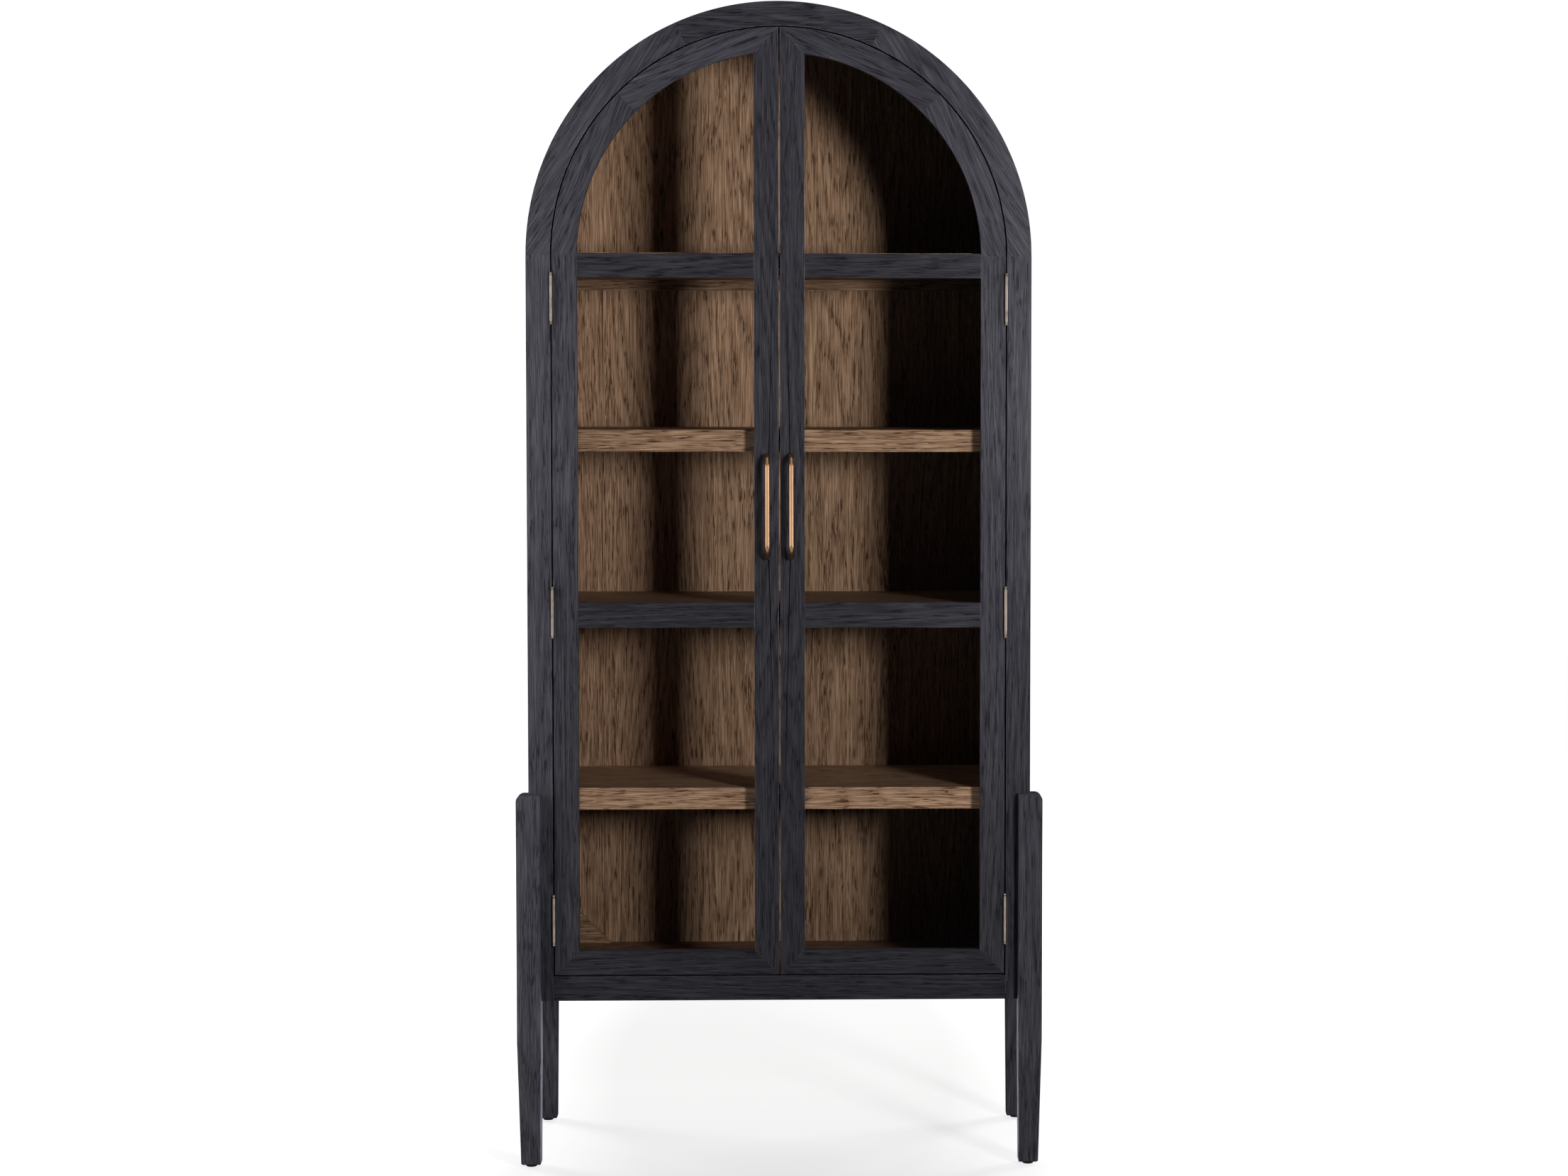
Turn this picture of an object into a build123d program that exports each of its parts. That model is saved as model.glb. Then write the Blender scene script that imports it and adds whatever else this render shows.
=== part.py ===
from build123d import *
import math
import os

# A free-standing arched display cabinet: a round-topped carcass on four corner
# legs, two flush glazed doors on butt hinges, four fixed shelves.
# Millimetres. X is across, Y is depth with the doors on the -Y side, Z is up.
# The origin is on the floor, under the middle of the whole cabinet.

# ---- carcass ----
OVERALL_HEIGHT = 2134.0
BODY_HALF_WIDTH = 460.0
BODY_BOTTOM = 308.0
BODY_DEPTH = 423.0
SPRING_LINE = OVERALL_HEIGHT - BODY_HALF_WIDTH
PANEL = 20.0
FLOOR_TOP = 353.0
FLOOR_THICKNESS = 40.0
BACK_INSET = 400.0
BACK_THICKNESS = 18.0

# ---- face frame and doors ----
MEMBER = 45.0
FACE_MEMBER = 44.4
FRAME_THICKNESS = 22.0
DOOR_GAP = 2.6
MEETING_GAP = 2.8
CROWN_HALF_ANGLE = 24.0
FRAME_INNER = BODY_HALF_WIDTH - FACE_MEMBER
DOOR_OUTER = FRAME_INNER - DOOR_GAP
PANE_OUTER = DOOR_OUTER - MEMBER
MEETING_EDGE = MEETING_GAP / 2
PANE_INNER = 46.0
DOOR_BOTTOM = 356.0
LOWER_PANE_BOTTOM = 400.0
LOWER_MULLION = (995.5, 1041.0)
UPPER_MULLION = (1634.0, 1678.0)

# ---- glazing ----
GLASS_FRONT = 12.0
GLASS_THICKNESS = 4.0
REBATE = 8.0
GLASS_PLAY = 1.0

# ---- shelves ----
SHELF_TOPS = (1680.0, 1357.0, 1038.0, 698.0)
SHELF_THICKNESS = 40.0
SHELF_SETBACK = 32.0
BRACE_SIZE = 108.0
BRACE_THICKNESS = 16.0
BACK_RAIL_BOTTOM = 1620.0
BACK_RAIL_THICKNESS = 16.0

# ---- legs ----
LEG_INNER = 438.0
LEG_OUTER = 482.5
LEG_PROUD = 17.0
LEG_DEPTH = 45.0
LEG_TOP = 690.0
TAPER_TOP = 235.0
TAPER_OUTSIDE = 6.0
TAPER_INSIDE = 2.0
LEG_SHOULDER_RADIUS = 13.0
LEG_FRONT_ROUND = 5.0
LEG_OUTER_RADIUS = 5.5
LEG_INNER_RADIUS = 2.5
LEG_TOE_CHAMFER = 1.5
GLIDE_RADIUS = 10.0
GLIDE_HEIGHT = 5.5
GLIDE_CHAMFER = 1.2
GLIDE_STEM_RADIUS = 3.0
GLIDE_STEM_LENGTH = 18.0

# ---- pulls ----
PULL_X = 22.0
PULL_ROD_RADIUS = 5.15
PULL_LENGTH = 196.0
PULL_PROJECTION = 32.0
PULL_MIDDLE = 1217.5
PULL_BEND_RADIUS = 24.0
PULL_SCREW_DEPTH = 14.0
PULL_SCREW_HEAD = 2.4

# ---- hinges ----
HINGE_MIDDLES = (1595.5, 1023.5, 457.0)
HINGE_LENGTH = 82.0
KNUCKLES = 5
KNUCKLE_GAP = 0.3
BARREL_RADIUS = 3.0
PIN_RADIUS = 1.5
PIN_CLEARANCE = 0.05
LEAF_THICKNESS = 1.2
LEAF_DEPTH = 20.0
BARREL_STANDOFF = 3.2
TIP_BALL_RADIUS = 3.1
TIP_COLLAR_RADIUS = 2.2
TIP_COLLAR_HEIGHT = 2.4
LEAF_RELIEF = 0.2
HINGE_SCREW_HEIGHTS = (-28.0, 0.0, 28.0)
HINGE_SCREW_LENGTH = 16.0
HINGE_SCREW_SETBACK = 11.0
HINGE_SCREW_RADIUS = 1.5
HINGE_SCREW_HEAD = 2.0

# ---- other fastenings ----
DOWEL_RADIUS = 4.0
DOWEL_LENGTH = 30.0
DOWEL_IN_PANEL = 12.0
SHELF_DOWEL_SETBACKS = (90.0, 330.0)
LEG_DOWEL_RADIUS = 2.0
LEG_DOWEL_LENGTH = 26.0
LEG_DOWEL_HEIGHTS = (420.0, 600.0)
BACK_SCREW_PITCH = 230.0
BACK_SCREW_BITE = 17.0
SCREW_RADIUS = 2.0
SCREW_HEAD_RADIUS = 4.0
SCREW_HEAD_HEIGHT = 3.0
MAGNET_RADIUS = 6.0
MAGNET_LENGTH = 20.0
MAGNET_AIR_GAP = 0.4
STRIKE_THICKNESS = 1.2
STRIKE_RADIUS = 8.0
CATCH_X = 24.0

# ---- positions worked out from the above ----
FACE = -(BODY_DEPTH + LEG_PROUD - PULL_PROJECTION) / 2
FRAME_BACK = FACE + FRAME_THICKNESS
BODY_BACK = FACE + BODY_DEPTH
BACK_FRONT = FACE + BACK_INSET
INNER_HALF_WIDTH = BODY_HALF_WIDTH - PANEL
HINGE_X = (FRAME_INNER + DOOR_OUTER) / 2
HINGE_Y = FACE - BARREL_STANDOFF

os.makedirs("parts", exist_ok=True)


# ---- helpers ----
def write(name, shape):
    """Write one sub-part, a solid or a group of separate solids."""
    solids = shape if isinstance(shape, list) else [shape]
    pieces = [piece for item in solids for piece in item.solids()]
    whole = pieces[0] if len(pieces) == 1 else Compound(children=pieces)
    whole.label = name
    export_step(whole, f"parts/{name}.step")


def block(x, y, z):
    """A box from three (low, high) pairs."""
    middle = Pos((x[0] + x[1]) / 2, (y[0] + y[1]) / 2, (z[0] + z[1]) / 2)
    return middle * Box(x[1] - x[0], y[1] - y[0], z[1] - z[0])


def front_slab(sketch, front, back):
    """A front-view outline, X across and Z up, given depth from front to back."""
    plane = Plane(origin=(0, back, 0), x_dir=(1, 0, 0), z_dir=(0, -1, 0))
    return extrude(plane * sketch, amount=back - front)


def side_slab(sketch, low, high):
    """A side-view outline, Y across and Z up, given width from low X to high X."""
    plane = Plane(origin=(low, 0, 0), x_dir=(0, 1, 0), z_dir=(1, 0, 0))
    return extrude(plane * sketch, amount=high - low)


def rect(low_x, high_x, low_z, high_z):
    middle = Pos((low_x + high_x) / 2, (low_z + high_z) / 2)
    return middle * Rectangle(high_x - low_x, high_z - low_z)


def polygon(points):
    return make_face(Polyline(*points, close=True))


def half_disc(radius):
    """The part of a disc that lies above the spring line."""
    disc = Pos(0, SPRING_LINE) * Circle(radius)
    return disc & rect(-radius, radius, SPRING_LINE, SPRING_LINE + radius)


def arched(radius, bottom):
    """A round-topped panel outline, straight below the spring line."""
    return half_disc(radius) + rect(-radius, radius, bottom, SPRING_LINE)


def sector(start, end, radius):
    """A wedge of the front view between two angles at the arch's centre."""
    def at(angle):
        turn = math.radians(angle)
        return (radius * math.cos(turn), SPRING_LINE + radius * math.sin(turn))
    return polygon([(0, SPRING_LINE), at(start), at((start + end) / 2), at(end)])


def arc_height(radius, x):
    """The height of an arch of this radius at a distance x from its middle."""
    return SPRING_LINE + math.sqrt(radius ** 2 - x ** 2)


def other_side(shape):
    """The same piece on the other side of the cabinet."""
    return mirror(shape, about=Plane.YZ)


def both_sides(shape):
    return [shape, other_side(shape)]


def rod_x(radius, x, y, z):
    """A rod along X between two x values."""
    length = x[1] - x[0]
    return Pos((x[0] + x[1]) / 2, y, z) * Rot(0, 90, 0) * Cylinder(radius, length)


def rod_y(radius, x, y, z):
    """A rod along Y between two y values."""
    length = y[1] - y[0]
    return Pos(x, (y[0] + y[1]) / 2, z) * Rot(90, 0, 0) * Cylinder(radius, length)


def cut(shape, tools):
    for tool in tools:
        shape = shape - tool
    return shape


# ---- dowels, made first because their holes are cut in both pieces ----
def side_dowel(y, z):
    """A dowel through the right side panel's inner face, along X."""
    start = INNER_HALF_WIDTH + DOWEL_IN_PANEL - DOWEL_LENGTH
    return rod_x(DOWEL_RADIUS, (start, INNER_HALF_WIDTH + DOWEL_IN_PANEL), y, z)


def board_middles():
    """The middle heights of the shelves and of the floor."""
    middles = [top - SHELF_THICKNESS / 2 for top in SHELF_TOPS]
    return middles + [FLOOR_TOP - FLOOR_THICKNESS / 2]


def shelf_dowels():
    """Two dowels at the right end of each shelf and of the floor."""
    depths = [FACE + setback for setback in SHELF_DOWEL_SETBACKS]
    return [side_dowel(y, z) for z in board_middles() for y in depths]


def leg_dowels():
    """Two dowels on each right-hand leg, standing in the side panel."""
    start = BODY_HALF_WIDTH - DOWEL_IN_PANEL
    span = (start, start + LEG_DOWEL_LENGTH)
    from_leg_edge = (FACE - LEG_PROUD + LEG_DEPTH - FRAME_BACK) / 2
    depths = (FRAME_BACK + from_leg_edge, BODY_BACK - DOWEL_IN_PANEL)
    return [rod_x(LEG_DOWEL_RADIUS, span, y, z) for y in depths for z in LEG_DOWEL_HEIGHTS]


# ---- carcass panels ----
def side_panel(dowels):
    """The right side, a flat board that stops at the spring line."""
    board = block(
        (INNER_HALF_WIDTH, BODY_HALF_WIDTH),
        (FRAME_BACK, BODY_BACK),
        (BODY_BOTTOM, SPRING_LINE),
    )
    return cut(board, dowels)


def arch_top_panel():
    """The bent board that carries the sides round the top."""
    ring = half_disc(BODY_HALF_WIDTH) - half_disc(INNER_HALF_WIDTH)
    return front_slab(ring, FRAME_BACK, BODY_BACK)


def floor_panel(dowels):
    board = block(
        (-INNER_HALF_WIDTH, INNER_HALF_WIDTH),
        (FRAME_BACK, BACK_FRONT),
        (FLOOR_TOP - FLOOR_THICKNESS, FLOOR_TOP),
    )
    return cut(board, dowels)


def back_panel(screws):
    outline = arched(INNER_HALF_WIDTH, FLOOR_TOP - FLOOR_THICKNESS)
    board = front_slab(outline, BACK_FRONT, BACK_FRONT + BACK_THICKNESS)
    return cut(board, screws)


def shelf(top, dowels, magnets):
    """A shelf, with its ends trimmed to the arch where it rises past the spring line."""
    board = block(
        (-INNER_HALF_WIDTH, INNER_HALF_WIDTH),
        (FACE + SHELF_SETBACK, BACK_FRONT),
        (top - SHELF_THICKNESS, top),
    )
    room = front_slab(arched(INNER_HALF_WIDTH, FLOOR_TOP), FACE + SHELF_SETBACK, BACK_FRONT)
    return cut(board & room, dowels + magnets)


def back_rail():
    """The rail against the back, under the top shelf."""
    return block(
        (-INNER_HALF_WIDTH, INNER_HALF_WIDTH),
        (BACK_FRONT - BACK_RAIL_THICKNESS, BACK_FRONT),
        (BACK_RAIL_BOTTOM, SHELF_TOPS[0] - SHELF_THICKNESS),
    )


def corner_brace():
    """The triangular block in the right rear corner of the floor."""
    outline = polygon([
        (INNER_HALF_WIDTH, FLOOR_TOP),
        (INNER_HALF_WIDTH - BRACE_SIZE, FLOOR_TOP),
        (INNER_HALF_WIDTH, FLOOR_TOP + BRACE_SIZE),
    ])
    return front_slab(outline, BACK_FRONT - BRACE_THICKNESS, BACK_FRONT)


def back_screws():
    """Countersunk screws that hold the back to each shelf and to the floor."""
    rear = BACK_FRONT + BACK_THICKNESS
    neck = rear - SCREW_HEAD_HEIGHT
    countersink = Rot(90, 0, 0) * Cone(SCREW_HEAD_RADIUS, SCREW_RADIUS, SCREW_HEAD_HEIGHT)
    found = []
    for z in board_middles():
        for step in (-1.5, -0.5, 0.5, 1.5):
            x = step * BACK_SCREW_PITCH
            shank = rod_y(SCREW_RADIUS, x, (BACK_FRONT - BACK_SCREW_BITE, neck), z)
            head = Pos(x, (neck + rear) / 2, z) * countersink
            found.append(shank + head)
    return found


# ---- face frame ----
def face_stile(screws):
    """The right upright of the face frame."""
    board = block(
        (FRAME_INNER, BODY_HALF_WIDTH), (FACE, FRAME_BACK), (BODY_BOTTOM, SPRING_LINE)
    )
    return cut(board, screws)


def face_bottom_rail():
    return block((-FRAME_INNER, FRAME_INNER), (FACE, FRAME_BACK), (BODY_BOTTOM, FLOOR_TOP))


def face_arch(start, end):
    """One curved length of the face frame, between two angles."""
    ring = half_disc(BODY_HALF_WIDTH) - half_disc(FRAME_INNER)
    wedge = sector(start, end, 2 * BODY_HALF_WIDTH)
    return front_slab(ring & wedge, FACE, FRAME_BACK)


# ---- legs ----
LEG_MIDDLE = ((LEG_OUTER + LEG_INNER) / 2, FACE - LEG_PROUD + LEG_DEPTH / 2)
FOOT_SHIFT = (TAPER_OUTSIDE - TAPER_INSIDE) / 2
FOOT_MIDDLE = (LEG_MIDDLE[0] - FOOT_SHIFT, LEG_MIDDLE[1] + FOOT_SHIFT)


def leg_outline(shrink, middle, height):
    """The leg's plan, softer on its outer edges, at one height."""
    plan = Rectangle(LEG_OUTER - LEG_INNER - shrink, LEG_DEPTH - shrink)
    plan = fillet(plan.vertices().sort_by(Axis.X)[-2:], LEG_OUTER_RADIUS)
    plan = fillet(plan.vertices().sort_by(Axis.X)[:2], LEG_INNER_RADIUS)
    return Pos(middle[0], middle[1], height) * plan


def leg_blank():
    """The right front leg before its housing for the carcass corner is cut."""
    waist = leg_outline(0, LEG_MIDDLE, TAPER_TOP)
    foot = leg_outline(TAPER_OUTSIDE + TAPER_INSIDE, FOOT_MIDDLE, GLIDE_HEIGHT)
    lower = loft([foot, waist], ruled=True)
    lower = chamfer(lower.faces().sort_by(Axis.Z)[0].edges(), LEG_TOE_CHAMFER)
    return extrude(waist, LEG_TOP - TAPER_TOP) + lower


def leg(dowels, glide):
    """The right front leg: a square post, notched over the carcass corner."""
    front = FACE - LEG_PROUD
    blank = leg_blank()
    low = -LEG_SHOULDER_RADIUS
    profile = rect(LEG_INNER - 1, LEG_OUTER, low, LEG_TOP)
    crown = profile.vertices().sort_by(Axis.Y)[-2:].sort_by(Axis.X)[-1]
    shoulder = front_slab(fillet(crown, LEG_SHOULDER_RADIUS), front - 1, front + LEG_DEPTH + 1)
    side_profile = rect(front, front + LEG_DEPTH, low, LEG_TOP)
    brow = side_profile.vertices().sort_by(Axis.Y)[-2:].sort_by(Axis.X)[0]
    rounded = side_slab(fillet(brow, LEG_FRONT_ROUND), LEG_INNER - 1, LEG_OUTER + 1)
    corner = block(
        (LEG_INNER - 1, BODY_HALF_WIDTH), (FACE, BODY_BACK), (BODY_BOTTOM, LEG_TOP + 1)
    )
    return cut((blank & shoulder & rounded) - corner, dowels + [glide])


def foot_glide():
    """The glide under the right front leg, with the stem that is pressed in."""
    disc = Pos(*FOOT_MIDDLE, GLIDE_HEIGHT / 2) * Cylinder(GLIDE_RADIUS, GLIDE_HEIGHT)
    disc = chamfer(disc.edges().sort_by(Axis.Z)[0], GLIDE_CHAMFER)
    stem_middle = GLIDE_HEIGHT + GLIDE_STEM_LENGTH / 2
    stem = Pos(*FOOT_MIDDLE, stem_middle) * Cylinder(GLIDE_STEM_RADIUS, GLIDE_STEM_LENGTH)
    return disc + stem


def rear(shape):
    """The same piece at the back of the cabinet."""
    middle = FACE + BODY_DEPTH / 2
    return mirror(shape, about=Plane(origin=(0, middle, 0), z_dir=(0, 1, 0)))


# ---- doors: everything here is the right door, and the left one is its mirror ----
def pane(kind, margin):
    """The front-view outline of one glass opening, grown by a margin."""
    left = PANE_INNER - margin
    right = PANE_OUTER + margin
    if kind == "lower":
        return rect(left, right, LOWER_PANE_BOTTOM - margin, LOWER_MULLION[0] + margin)
    if kind == "middle":
        return rect(left, right, LOWER_MULLION[1] - margin, UPPER_MULLION[0] + margin)
    upright = rect(left, right, UPPER_MULLION[1] - margin, OVERALL_HEIGHT)
    return (Pos(0, SPRING_LINE) * Circle(right)) & upright


PANE_KINDS = ("upper", "middle", "lower")


def door_blank():
    """The whole door frame in one piece, with its openings and glass rebates."""
    outline = arched(DOOR_OUTER, DOOR_BOTTOM) & rect(
        MEETING_EDGE, DOOR_OUTER, DOOR_BOTTOM, OVERALL_HEIGHT
    )
    frame = front_slab(outline, FACE, FRAME_BACK)
    for kind in PANE_KINDS:
        frame = frame - front_slab(pane(kind, 0), FACE, FRAME_BACK)
        frame = frame - front_slab(pane(kind, REBATE), FACE + GLASS_FRONT, FRAME_BACK)
    return frame


def door_members():
    """The door frame cut into its boards at the mitres and butt joints."""
    foot_outer = (DOOR_OUTER, DOOR_BOTTOM)
    foot_inner = (MEETING_EDGE, DOOR_BOTTOM)
    pane_outer = (PANE_OUTER, LOWER_PANE_BOTTOM)
    pane_inner = (PANE_INNER, LOWER_PANE_BOTTOM)
    head_inner = (PANE_INNER, arc_height(PANE_OUTER, PANE_INNER))
    head_outer = (MEETING_EDGE, arc_height(DOOR_OUTER, MEETING_EDGE))
    hinge_stile = polygon(
        [foot_outer, pane_outer, (PANE_OUTER, SPRING_LINE), (DOOR_OUTER, SPRING_LINE)]
    )
    meeting_stile = polygon([foot_inner, pane_inner, head_inner, head_outer])
    bottom_rail = polygon([foot_inner, foot_outer, pane_outer, pane_inner])
    lower_mullion = rect(PANE_INNER, PANE_OUTER, *LOWER_MULLION)
    upper_mullion = rect(PANE_INNER, PANE_OUTER, *UPPER_MULLION)
    above = rect(MEETING_EDGE, DOOR_OUTER, SPRING_LINE, OVERALL_HEIGHT)
    arch = above - meeting_stile - upper_mullion
    regions = {
        "hinge_stile": hinge_stile,
        "meeting_stile": meeting_stile,
        "bottom_rail": bottom_rail,
        "lower_mullion": lower_mullion,
        "upper_mullion": upper_mullion,
        "arch_rail_lower": arch & sector(0, 45, 2 * BODY_HALF_WIDTH),
        "arch_rail_upper": arch & sector(45, 90, 2 * BODY_HALF_WIDTH),
    }
    blank = door_blank()
    return {
        name: blank & front_slab(region, FACE - 1, FRAME_BACK + 1)
        for name, region in regions.items()
    }


def glass(kind):
    front = FACE + GLASS_FRONT
    return front_slab(pane(kind, REBATE - GLASS_PLAY), front, front + GLASS_THICKNESS)


def glazing_beads():
    """The strips behind each pane: a bottom, a top and two sides, butted."""
    front = FACE + GLASS_FRONT + GLASS_THICKNESS
    strips = []
    for kind, low, high in (
        ("lower", LOWER_PANE_BOTTOM, LOWER_MULLION[0]),
        ("middle", LOWER_MULLION[1], UPPER_MULLION[0]),
        ("upper", UPPER_MULLION[1], OVERALL_HEIGHT),
    ):
        ring = pane(kind, REBATE) - pane(kind, 0)
        inner_side = rect(0, PANE_INNER, low, high)
        outer_side = rect(PANE_INNER, BODY_HALF_WIDTH, low, high)
        bottom = rect(0, BODY_HALF_WIDTH, low - REBATE, low)
        regions = [inner_side, outer_side, bottom]
        if high < OVERALL_HEIGHT:
            regions.append(rect(0, BODY_HALF_WIDTH, high, high + REBATE))
        for region in regions:
            strips.append(front_slab(ring & region, front, FRAME_BACK))
    return strips


# ---- pulls ----
PULL_ENDS = (
    PULL_MIDDLE - PULL_LENGTH / 2 + PULL_ROD_RADIUS,
    PULL_MIDDLE + PULL_LENGTH / 2 - PULL_ROD_RADIUS,
)


def pull():
    """The right D pull: a round rod bent back to the door at both ends."""
    out = FACE - PULL_PROJECTION + PULL_ROD_RADIUS
    low, high = PULL_ENDS
    route = FilletPolyline(
        (PULL_X, FACE, low), (PULL_X, out, low), (PULL_X, out, high), (PULL_X, FACE, high),
        radius=PULL_BEND_RADIUS,
    )
    start = Plane(origin=(PULL_X, FACE, low), z_dir=(0, -1, 0))
    rod = sweep(start * Circle(PULL_ROD_RADIUS), path=route)
    return cut(rod, pull_screws())


def pull_screws():
    """Pan-head screws from inside the door into the ends of the right pull."""
    found = []
    for z in PULL_ENDS:
        shank = rod_y(SCREW_RADIUS, PULL_X, (FACE - PULL_SCREW_DEPTH, FRAME_BACK), z)
        head_span = (FRAME_BACK, FRAME_BACK + PULL_SCREW_HEAD)
        head = rod_y(SCREW_HEAD_RADIUS, PULL_X, head_span, z)
        head = fillet(head.edges().sort_by(Axis.Y)[-1], PULL_SCREW_HEAD / 2)
        found.append(shank + head)
    return found


# ---- hinges ----
def knuckle_span(number, middle):
    """The heights of one knuckle, counted from the bottom of the barrel."""
    pitch = HINGE_LENGTH / KNUCKLES
    low = middle - HINGE_LENGTH / 2 + number * pitch
    return low + KNUCKLE_GAP / 2, low + pitch - KNUCKLE_GAP / 2


def upright_rod(radius, low, high):
    """A rod on the right hinge line."""
    return Pos(HINGE_X, HINGE_Y, (low + high) / 2) * Cylinder(radius, high - low)


def leaf_face(side):
    """Where the open face of a leaf stands; side is +1 on the frame, -1 on the door."""
    return HINGE_X + side * (DOOR_GAP / 2 - LEAF_THICKNESS)


def hinge_leaf(middle, side, first, bore_radius):
    """One right-hand leaf; its knuckles are every second one from the first."""
    across = sorted((leaf_face(side), leaf_face(side) + side * LEAF_THICKNESS))
    low = middle - HINGE_LENGTH / 2
    high = middle + HINGE_LENGTH / 2
    leaf = block(across, (FACE + LEAF_RELIEF, FACE + LEAF_DEPTH), (low, high))
    for number in range(first, KNUCKLES, 2):
        bottom, top = knuckle_span(number, middle)
        leaf = leaf + block(across, (HINGE_Y, FACE + 1.0), (bottom, top))
        leaf = leaf + upright_rod(BARREL_RADIUS, bottom, top)
        leaf = leaf - upright_rod(bore_radius, bottom - 1, top + 1)
    return leaf


def hinge_pin(middle):
    """A pin held by the frame leaf's knuckles, with a ball tip at each end."""
    half = HINGE_LENGTH / 2
    pin = upright_rod(PIN_RADIUS, middle - half, middle + half)
    for way in (-1, 1):
        collar = sorted((middle + way * half, middle + way * (half + TIP_COLLAR_HEIGHT)))
        pin = pin + upright_rod(TIP_COLLAR_RADIUS, *collar)
        ball_height = middle + way * (half + TIP_COLLAR_HEIGHT / 2 + TIP_BALL_RADIUS)
        pin = pin + Pos(HINGE_X, HINGE_Y, ball_height) * Sphere(TIP_BALL_RADIUS)
    return pin


def hinge_screws(middle, side):
    """Countersunk screws through one leaf, with their heads in its open face."""
    face = leaf_face(side)
    y = FACE + HINGE_SCREW_SETBACK
    narrow = HINGE_SCREW_RADIUS
    wide = 2 * HINGE_SCREW_RADIUS
    ends_of_cone = (wide, narrow) if side > 0 else (narrow, wide)
    cone = Cone(*ends_of_cone, HINGE_SCREW_HEAD)
    ends = sorted((face + side * HINGE_SCREW_HEAD, face + side * HINGE_SCREW_LENGTH))
    found = []
    for height in HINGE_SCREW_HEIGHTS:
        z = middle + height
        head = Pos(face + side * HINGE_SCREW_HEAD / 2, y, z) * Rot(0, 90, 0) * cone
        found.append(rod_x(narrow, ends, y, z) + head)
    return found


# ---- catches ----
def catch_heights():
    """The middles of the second and fourth shelves."""
    return [SHELF_TOPS[index] - SHELF_THICKNESS / 2 for index in (1, 3)]


def catch_magnets():
    """Round magnets let into the shelf fronts behind the right meeting stile."""
    front = FRAME_BACK + STRIKE_THICKNESS + MAGNET_AIR_GAP
    return [
        rod_y(MAGNET_RADIUS, CATCH_X, (front, front + MAGNET_LENGTH), z)
        for z in catch_heights()
    ]


def strike_plates():
    """Thin steel discs on the back of the right meeting stile."""
    return [
        rod_y(STRIKE_RADIUS, CATCH_X, (FRAME_BACK, FRAME_BACK + STRIKE_THICKNESS), z)
        for z in catch_heights()
    ]


# ---- fastenings ----
right_shelf_dowels = shelf_dowels()
right_leg_dowels = leg_dowels()
right_dowels = right_shelf_dowels + right_leg_dowels
all_dowels = right_dowels + [other_side(dowel) for dowel in right_dowels]
shelf_level_dowels = right_shelf_dowels + [other_side(d) for d in right_shelf_dowels]
magnets = catch_magnets()
magnets = magnets + [other_side(magnet) for magnet in magnets]
panel_screws = back_screws()
frame_hinge_screws = [s for z in HINGE_MIDDLES for s in hinge_screws(z, 1)]
door_hinge_screws = [s for z in HINGE_MIDDLES for s in hinge_screws(z, -1)]


def only_near(tools, low, high):
    """The tools whose middle height lies between two heights."""
    return [tool for tool in tools if low < tool.bounding_box().center().Z < high]


write("assembly_dowels", all_dowels)
write("back_panel_screws", panel_screws)
write("catch_magnets", magnets)

# ---- carcass ----
right_side = side_panel(right_dowels)
write("side_panel_right", right_side)
write("side_panel_left", other_side(right_side))
write("arch_top_panel", arch_top_panel())
floor_tools = only_near(shelf_level_dowels + panel_screws, 0, FLOOR_TOP)
write("floor_panel", floor_panel(floor_tools))
write("back_panel", back_panel(panel_screws))
for number, shelf_top in enumerate(SHELF_TOPS, start=1):
    bottom = shelf_top - SHELF_THICKNESS
    fixings = only_near(shelf_level_dowels + panel_screws, bottom, shelf_top)
    write(f"shelf_{number}", shelf(shelf_top, fixings, only_near(magnets, bottom, shelf_top)))
write("back_rail", back_rail())
write("corner_braces", both_sides(corner_brace()))

# ---- face frame ----
right_stile = face_stile(frame_hinge_screws)
write("face_stile_right", right_stile)
write("face_stile_left", other_side(right_stile))
write("face_bottom_rail", face_bottom_rail())
write("face_arch_right", face_arch(0, 90 - CROWN_HALF_ANGLE))
write("face_arch_crown", face_arch(90 - CROWN_HALF_ANGLE, 90 + CROWN_HALF_ANGLE))
write("face_arch_left", face_arch(90 + CROWN_HALF_ANGLE, 180))

# ---- legs and glides ----
glide = foot_glide()
front_leg = leg(right_leg_dowels, glide)
rear_leg = rear(leg([rear(dowel) for dowel in right_leg_dowels], glide))
write("leg_front_right", front_leg)
write("leg_front_left", other_side(front_leg))
write("leg_rear_right", rear_leg)
write("leg_rear_left", other_side(rear_leg))
write("foot_glides", both_sides(glide) + both_sides(rear(glide)))

# ---- hinges on the cabinet ----
frame_leaves = []
pins = []
for hinge_middle in HINGE_MIDDLES:
    leaf = hinge_leaf(hinge_middle, 1, 0, PIN_RADIUS)
    frame_leaves += both_sides(cut(leaf, hinge_screws(hinge_middle, 1)))
    pins += both_sides(hinge_pin(hinge_middle))
write("hinge_frame_leaves", frame_leaves)
write("hinge_pins", pins)
write("hinge_frame_screws", frame_hinge_screws + [other_side(s) for s in frame_hinge_screws])

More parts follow.
